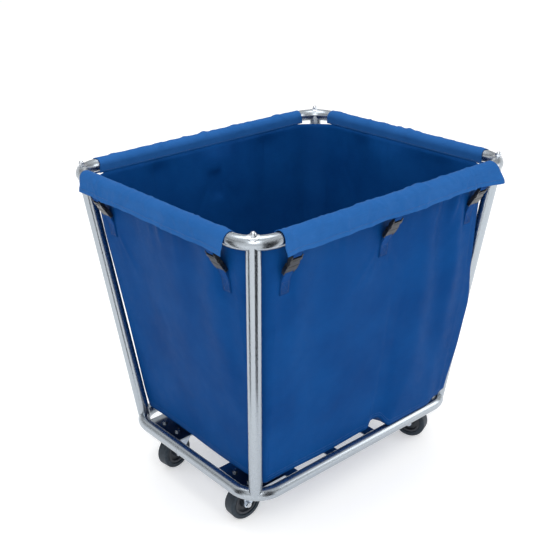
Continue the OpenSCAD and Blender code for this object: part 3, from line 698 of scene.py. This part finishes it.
def make_flap(index):
    """Cloth from the seam inside, up over the rail and down to the hem outside."""
    name, turn, rail, half, _ = SIDES[index]
    rng = np.random.default_rng(7 + index)
    length = flap_length()
    rows, columns = 52, int(half * 2 / 0.0034)
    s, x = np.meshgrid(np.linspace(0, length, rows), np.linspace(-half, half, columns), indexing="ij")
    s, x = s.ravel(), x.ravel()
    arc = np.clip((s - SEAM_DROP) / ARC, 0, 1) * math.pi
    drop = np.where(s < SEAM_DROP, SEAM_DROP - s, np.maximum(0, s - SEAM_DROP - ARC))
    y = WRAP_R * np.cos(arc)
    z = WRAP_R * np.sin(arc) - drop
    ny, nz = np.cos(arc), np.sin(arc)
    # soft diagonal puckers round the rail
    lift = np.zeros_like(s)
    for _ in range(int(half * 150)):
        centre = rng.uniform(-half, half)
        slant = rng.uniform(-0.9, 0.9)
        width = rng.uniform(0.004, 0.010)
        middle = rng.uniform(0.035, length)
        reach = rng.uniform(0.012, 0.035)
        off = x - centre - slant * (s - middle)
        size = rng.uniform(0.0005, 0.0022) * (1.5 if index == 0 and centre > 0 else 1.0)
        lift += size * np.exp(-(off / width) ** 2 - ((s - middle) / reach) ** 2)
    lift += 0.0005 * np.clip(smooth_noise(np.column_stack([x, s, 0 * s]), 55.0, 3 + index), -1, 1)
    # the hem is a double fold that waves and stands off the wall
    hem = step(s, length - 0.024, length)
    waves = 0.0016 * np.sin(x * 31 + index) * np.sin(x * 12 + 1.3) + 0.0010 * np.sin(x * 77 + 2)
    lift += hem * (0.0022 + waves)
    lift += (s > length - HEM_FOLD) * 0.0007
    # the flap's ends flare a little where nothing holds them
    flare = step(np.abs(x), half - 0.035, half) * step(s, SEAM_DROP + ARC * 0.8, length)
    lift += flare * (0.004 if index != 0 else 0.006)
    spread_end = step(x, half - 0.07, half) * step(s, SEAM_DROP + ARC * 0.45, length) if index == 0 else 0
    lift += 0.010 * spread_end
    lift *= np.where(s < SEAM_DROP, 0.3, 1.0)
    y = y + ny * lift
    z = z + nz * lift
    # the ends and the hem are not quite straight
    x = x + 0.0015 * np.sin(s * 90 + index) * (np.abs(x) / half) ** 8 * np.sign(x)
    z = z - 0.0012 * np.sin(x * 23 + 2 * index) * hem
    x = x + 0.007 * spread_end
    local = np.column_stack([x, y, z])
    world = [side_matrix(turn, rail) @ Vector(p) for p in local]
    uvs = np.column_stack([x, s])
    piece = piece_from("flap_" + name + "_cloth", world, grid_faces(rows, columns), FLAP_CLOTH, uvs)
    thicken(piece, FLAP_CLOTH_T)
    return piece, local.reshape(rows, columns, 3)


# ---------------------------------------------------------------- stitches
def stitch_tree():
    """Geometry nodes: rounded stitches laid along every edge line of a piece."""
    tree = bpy.data.node_groups.new("stitch_row", "GeometryNodeTree")
    face = tree.interface
    face.new_socket("Geometry", in_out="INPUT", socket_type="NodeSocketGeometry")
    for name, size in (("Pitch", 0.004), ("Length", 0.003), ("Thickness", 0.0006)):
        face.new_socket(name, in_out="INPUT", socket_type="NodeSocketFloat").default_value = size
    face.new_socket("Thread", in_out="INPUT", socket_type="NodeSocketMaterial")
    face.new_socket("Geometry", in_out="OUTPUT", socket_type="NodeSocketGeometry")
    make, link = tree.nodes.new, tree.links.new
    given, result = make("NodeGroupInput"), make("NodeGroupOutput")
    curve = make("GeometryNodeMeshToCurve")
    link(given.outputs["Geometry"], curve.inputs["Mesh"])
    points = make("GeometryNodeCurveToPoints")
    points.mode = "LENGTH"
    link(curve.outputs["Curve"], points.inputs["Curve"])
    link(given.outputs["Pitch"], points.inputs["Length"])
    body = make("GeometryNodeMeshUVSphere")
    body.inputs["Segments"].default_value = 6
    body.inputs["Rings"].default_value = 5
    body.inputs["Radius"].default_value = 0.5
    shape = make("ShaderNodeCombineXYZ")
    for axis, name in zip("XYZ", ("Thickness", "Thickness", "Length")):
        link(given.outputs[name], shape.inputs[axis])
    place = make("GeometryNodeInstanceOnPoints")
    link(points.outputs["Points"], place.inputs["Points"])
    link(body.outputs["Mesh"], place.inputs["Instance"])
    link(shape.outputs["Vector"], place.inputs["Scale"])
    turn = make("FunctionNodeAlignRotationToVector")
    turn.axis = "Z"
    link(points.outputs["Tangent"], turn.inputs["Vector"])
    link(turn.outputs["Rotation"], place.inputs["Rotation"])
    real = make("GeometryNodeRealizeInstances")
    link(place.outputs["Instances"], real.inputs["Geometry"])
    smooth = make("GeometryNodeSetShadeSmooth")
    link(real.outputs["Geometry"], smooth.inputs["Geometry"])
    coat = make("GeometryNodeSetMaterial")
    link(smooth.outputs["Geometry"], coat.inputs["Geometry"])
    link(given.outputs["Thread"], coat.inputs["Material"])
    link(coat.outputs["Geometry"], result.inputs["Geometry"])
    return tree


STITCHES = stitch_tree()


def sew(name, lines, thread, pitch=0.0042, length=0.0031, thickness=0.0007):
    """Sews rows of stitches along lines of points, as one piece."""
    verts, edges = [], []
    for line in lines:
        start = len(verts)
        verts += [tuple(p) for p in line]
        edges += [(i, i + 1) for i in range(start, len(verts) - 1)]
    mesh = bpy.data.meshes.new(name)
    mesh.from_pydata(verts, edges, [])
    piece = bpy.data.objects.new(name, mesh)
    scene.collection.objects.link(piece)
    rows = piece.modifiers.new("stitches", "NODES")
    rows.node_group = STITCHES
    keys = {item.name: item.identifier for item in STITCHES.interface.items_tree if item.in_out == "INPUT"}
    for key, value in (("Pitch", pitch), ("Length", length), ("Thickness", thickness), ("Thread", thread)):
        rows[keys[key]] = value
    settle(piece)
    return piece


# ---------------------------------------------------------------- webbing and buckles
# Places across a rail are (inward, up) from its centreline.
HEM_OUT = TUBE_R + 0.0003
LEAN = math.radians(31.8)               # the buckles lean inward to the wall


def down_buckle(start, distance):
    """A place further down along a buckle."""
    return start[0] + distance * math.sin(LEAN), start[1] - distance * math.cos(LEAN)


TAB_BAR = down_buckle((-HEM_OUT + 0.00075, -HEM_DROP), 0.0135)
MEET = down_buckle(TAB_BAR, 0.0295)     # where the two halves of a buckle meet
STRAP_BAR = down_buckle(MEET, 0.0225)
LOOP_R = 0.0023                         # radius of a webbing loop round a bar
STRAP_TOP, STRAP_FOOT = STRAP_BAR[1] - 0.022, STRAP_BAR[1] - 0.056    # ends of the patch on the wall


def wall_inset(index, z):
    """How far in the bag's wall is from the rail's centreline, at a height from it."""
    top, foot = (BAG_TOP[1], BAG_FOOT[1]) if index in (0, 2) else (BAG_TOP[0], BAG_FOOT[0])
    rail = SIDES[index][2]
    share = (-z - SEAM_DROP) / (RIM_Z - SEAM_DROP - FOOT_Z)
    return rail - top + (top - foot) * share


def ribbon(name, paths, width, material, thickness):
    """Webbing tapes, each along a path of world points across which it is width wide."""
    verts, faces, uvs = [], [], []
    for path, across in paths:
        start = len(verts)
        run = 0.0
        for i, p in enumerate(path):
            if i:
                run += (p - path[i - 1]).length
            for t in (-0.5, -0.25, 0, 0.25, 0.5):
                verts.append(p + across * (t * width))
                uvs.append((t * width, run))
        faces += [tuple(start + v for v in face) for face in grid_faces(len(path), 5)]
    piece = piece_from(name, verts, faces, material, uvs)
    thicken(piece, thickness)
    return piece


def loop_round(bar, first, last):
    """Part of a webbing loop round a buckle's bar, between two angles."""
    angles = np.linspace(first, last, 9)
    return [(bar[0] + LOOP_R * math.cos(a), bar[1] + LOOP_R * math.sin(a)) for a in angles]


def make_webbing():
    """Tabs from the flaps' hems to the buckles, and straps from the buckles to the walls."""
    tabs, straps, sewing = [], [], []
    for index, (_, turn, rail, _, places) in enumerate(SIDES):
        m = side_matrix(turn, rail)
        across = (m.to_3x3() @ Vector((1, 0, 0))).normalized()
        wall_top, wall_foot = wall_inset(index, STRAP_TOP), wall_inset(index, STRAP_FOOT)
        tab = [(-HEM_OUT + 0.0008, -HEM_DROP + 0.012), (-HEM_OUT + 0.0010, -HEM_DROP + 0.001),
               (TAB_BAR[0] - LOOP_R * math.cos(LEAN), TAB_BAR[1] - LOOP_R * math.sin(LEAN))]
        tab += loop_round(TAB_BAR, math.pi + LEAN, 2 * math.pi + LEAN)
        tab += [(-HEM_OUT + 0.0024, -HEM_DROP + 0.001), (-HEM_OUT + 0.0023, -HEM_DROP + 0.010)]
        strap = [(wall_foot - 0.0026, STRAP_FOOT), (wall_top - 0.0030, STRAP_TOP)]
        strap += loop_round(STRAP_BAR, math.pi + LEAN, LEAN)
        strap += [(wall_top - 0.0012, STRAP_TOP + 0.002), (wall_foot - 0.0010, STRAP_FOOT)]
        # a box of stitches with its diagonals, just off the strap's face
        half, top, foot = 0.0095, STRAP_TOP - 0.004, STRAP_FOOT + 0.004
        box = [(-half, top), (half, top), (half, foot), (-half, foot)]
        for place in places:
            tabs.append(([m @ Vector((place, y, z)) for y, z in tab], across))
            straps.append(([m @ Vector((place, y, z)) for y, z in strap], across))
            corner = [m @ Vector((place + x, wall_inset(index, z) - 0.0039, z)) for x, z in box]
            sewing += [corner + corner[:1], [corner[0], corner[2]], [corner[1], corner[3]]]
    return (ribbon("buckle_tabs", tabs, WEBBING_W, WEBBING, WEBBING_T),
            ribbon("buckle_straps", straps, WEBBING_W, WEBBING, WEBBING_T), sewing)


def prism(mesh, outline_points, half):
    """A slab with a plan outline in x and z, and half its thickness in y."""
    front = [mesh.verts.new((x, -half, z)) for x, z in outline_points]
    rear = [mesh.verts.new((x, half, z)) for x, z in outline_points]
    count = len(outline_points)
    mesh.faces.new(front)
    mesh.faces.new(rear[::-1])
    for i in range(count):
        j = (i + 1) % count
        mesh.faces.new((front[j], front[i], rear[i], rear[j]))


def mirrored(points):
    """An outline that is the same on both sides, from its +x half."""
    return points + other_side(points)[::-1]


def other_side(points):
    return [(-x, z) for x, z in points]


def bar_outline(half, low, high):
    return [(half, low), (half, high), (-half, high), (-half, low)]


def make_buckle_half(name, solids):
    """One moulded half in its own frame, with its edges rounded, placed at every buckle."""
    mesh = bmesh.new()
    for outline_points, half in solids:
        prism(mesh, outline_points, half)
    bmesh.ops.recalc_face_normals(mesh, faces=mesh.faces)
    data = bpy.data.meshes.new(name + "_one")
    mesh.to_mesh(data)
    mesh.free()
    data.materials.append(BUCKLE_PLASTIC)
    one = bpy.data.objects.new(name + "_one", data)
    scene.collection.objects.link(one)
    edge = one.modifiers.new("edge", "BEVEL")
    edge.width = 0.0009
    edge.segments = 2
    edge.limit_method = "ANGLE"
    settle(one)
    base = one.data
    verts = np.array([v.co for v in base.vertices])
    faces = [tuple(p.vertices) for p in base.polygons]
    every, every_face = [], []
    for _, turn, rail, _, places in SIDES:
        m = side_matrix(turn, rail)
        for place in places:
            stand = m @ Matrix.Translation((place, *MEET)) @ Matrix.Rotation(LEAN, 4, "X")
            start = len(every)
            every += [stand @ Vector(v) for v in verts]
            every_face += [tuple(start + i for i in f) for f in faces]
    bpy.data.objects.remove(one)
    return piece_from(name, every, every_face, BUCKLE_PLASTIC, smooth=False)


def make_buckles():
    """Side-release buckles. In a buckle's frame +z is up towards the flap. Thicknesses are halves."""
    half = 0.017
    body_t, cheek_t, bar_t, prong_t, ridge_t = 0.005, 0.004, 0.0015, 0.0028, 0.0056
    body = mirrored([(half, 0.001), (half, 0.006), (half - 0.0035, 0.0075), (half - 0.0035, 0.0145),
                     (half, 0.016), (half - 0.001, 0.0245)])
    cheek = [(half - 0.001, 0.024), (half - 0.001, 0.030), (half - 0.003, 0.0325), (half - 0.0045, 0.0325),
             (half - 0.0045, 0.024)]
    bar = bar_outline(half - 0.002, 0.0282, 0.0312)
    ridges = [(bar_outline(0.010, z, z + 0.0016), ridge_t) for z in (0.0165, 0.0195)]
    socket = make_buckle_half("buckle_socket_mouldings", [
        (body, body_t), (cheek, cheek_t), (other_side(cheek), cheek_t), (bar, bar_t)] + ridges)
    body = mirrored([(half - 0.001, -0.0175), (half, -0.012), (half, -0.0005)])
    cheek = [(half - 0.001, -0.017), (half - 0.0045, -0.017), (half - 0.0045, -0.0255),
             (half - 0.003, -0.0255), (half - 0.001, -0.023)]
    bar = bar_outline(half - 0.002, -0.024, -0.021)
    prong = [(half - 0.0015, 0.0), (half - 0.0012, 0.013), (half - 0.004, 0.0155), (half - 0.0065, 0.0155),
             (half - 0.0065, 0.0)]
    plug = make_buckle_half("buckle_plug_mouldings", [
        (body, body_t), (cheek, cheek_t), (other_side(cheek), cheek_t), (bar, bar_t),
        (prong, prong_t), (other_side(prong), prong_t)])
    return socket, plug


# ---------------------------------------------------------------- build the cloth
bag, foot_lines = make_bag()
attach(bag, "cart")
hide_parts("bag")

hem_lines, seam_lines = [], []
for k, (side_name, side_turn, side_rail, side_half, _) in enumerate(SIDES):
    flap, grid = make_flap(k)
    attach(flap, "cart")
    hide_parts("flap_" + side_name)
    to_world = side_matrix(side_turn, side_rail)
    for lines, down, outward in ((hem_lines, flap_length() - 0.0105, -0.0011), (seam_lines, 0.004, 0.0011)):
        row = grid[int(round(down / flap_length() * (grid.shape[0] - 1)))]
        lines.append([to_world @ Vector((p[0], p[1] + outward, p[2])) for p in row[2:-2]])

tabs, straps, strap_sewing = make_webbing()
socket, plug = make_buckles()
hem_stitches = sew("hem_stitches", hem_lines, FLAP_THREAD)
seam_stitches = sew("seam_stitches", seam_lines, FLAP_THREAD)
foot_stitches = sew("foot_stitches", foot_lines, BAG_THREAD)
strap_stitches = sew("strap_stitches", strap_sewing, FLAP_THREAD,
                     pitch=0.0030, length=0.0022, thickness=0.0006)
for piece, slot, nodes in (
    (tabs, "webbing", ["flap_tabs"]), (straps, "webbing", ["wall_straps"]),
    (socket, "buckle_plastic", ["buckle_sockets"]), (plug, "buckle_plastic", ["buckle_plugs"]),
    (hem_stitches, "flap_cloth", []), (seam_stitches, "flap_cloth", []), (strap_stitches, "webbing", []),
    (foot_stitches, "bag_cloth", []),
):
    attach(piece, "cart")
    if nodes:
        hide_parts(*nodes)


# ---------------------------------------------------------------- floor and light
def grey(level):
    return level, level, level, 1


def make_floor():
    """A white floor with a slight glow, wide enough to pass the horizon in every view."""
    mesh = bpy.data.meshes.new("floor")
    r = 90
    mesh.from_pydata([(-r, -r, 0), (r, -r, 0), (r, r, 0), (-r, r, 0)], [], [(0, 1, 2, 3)])
    floor = bpy.data.objects.new("floor", mesh)
    scene.collection.objects.link(floor)
    f = Finish("floor_paper", Roughness=0.9)
    f.shader.inputs["Base Color"].default_value = grey(0.86)
    f.shader.inputs["Emission Color"].default_value = grey(1)
    f.shader.inputs["Emission Strength"].default_value = 0.36
    mesh.materials.append(f.material)


def make_light(name, place, target, size, power):
    data = bpy.data.lights.new(name, "AREA")
    data.shape = "RECTANGLE"
    data.size, data.size_y = size
    data.energy = power
    light = bpy.data.objects.new(name, data)
    scene.collection.objects.link(light)
    light.location = place
    light.rotation_euler = (Vector(target) - Vector(place)).to_track_quat("-Z", "Y").to_euler()


def make_world():
    """A pale studio with a dimmer band above the views' upper edge, which draws lines on the tubes."""
    world = bpy.data.worlds.new("studio")
    scene.world = world
    world.use_nodes = True
    tree = world.node_tree
    back = tree.nodes["Background"]
    where = tree.nodes.new("ShaderNodeTexCoord")
    split = tree.nodes.new("ShaderNodeSeparateXYZ")
    ramp = tree.nodes.new("ShaderNodeValToRGB")
    tree.links.new(where.outputs["Generated"], split.inputs["Vector"])
    tree.links.new(split.outputs["Z"], ramp.inputs["Fac"])
    tree.links.new(ramp.outputs["Color"], back.inputs["Color"])
    stops = ramp.color_ramp.elements
    stops[0].position, stops[0].color = 0.29, grey(1)
    stops[1].position, stops[1].color = 1.0, grey(0.85)
    for position, level in ((0.34, 0.22), (0.42, 0.22), (0.54, 0.72), (0.66, 0.85)):
        stops.new(position).color = grey(level)
    back.inputs["Strength"].default_value = 1.0


def make_flag(name, place, width, height, facing):
    """A dark studio card out of view, which only the polished tubes show."""
    side = Vector((math.cos(facing), math.sin(facing), 0)) * (width / 2)
    low, up = Vector(place), Vector((0, 0, height))
    mesh = bpy.data.meshes.new(name)
    mesh.from_pydata([low - side, low + side, low + side + up, low - side + up], [], [(0, 1, 2, 3)])
    card = bpy.data.objects.new(name, mesh)
    scene.collection.objects.link(card)
    f = Finish(name + "_black", Roughness=0.9)
    f.shader.inputs["Base Color"].default_value = (0.02, 0.02, 0.022, 1)
    mesh.materials.append(f.material)
    card.visible_camera = False
    card.visible_diffuse = False
    card.visible_shadow = False


make_floor()
make_world()
make_flag("flag_front", (-0.38, -0.66, 0.0), 0.28, 0.9, 0.0)
make_flag("flag_left", (-0.80, -0.10, 0.0), 0.24, 0.9, math.radians(90))
make_light("key", (-2.4, -2.2, 2.6), (0, 0, 0.4), (1.6, 2.2), 40)
make_light("fill", (2.6, -2.2, 1.8), (0, 0, 0.4), (1.6, 2.0), 26)
make_light("top", (0, 0.4, 3.6), (0, 0, 0.4), (2.4, 2.0), 42)
scene.view_settings.view_transform = "Standard"
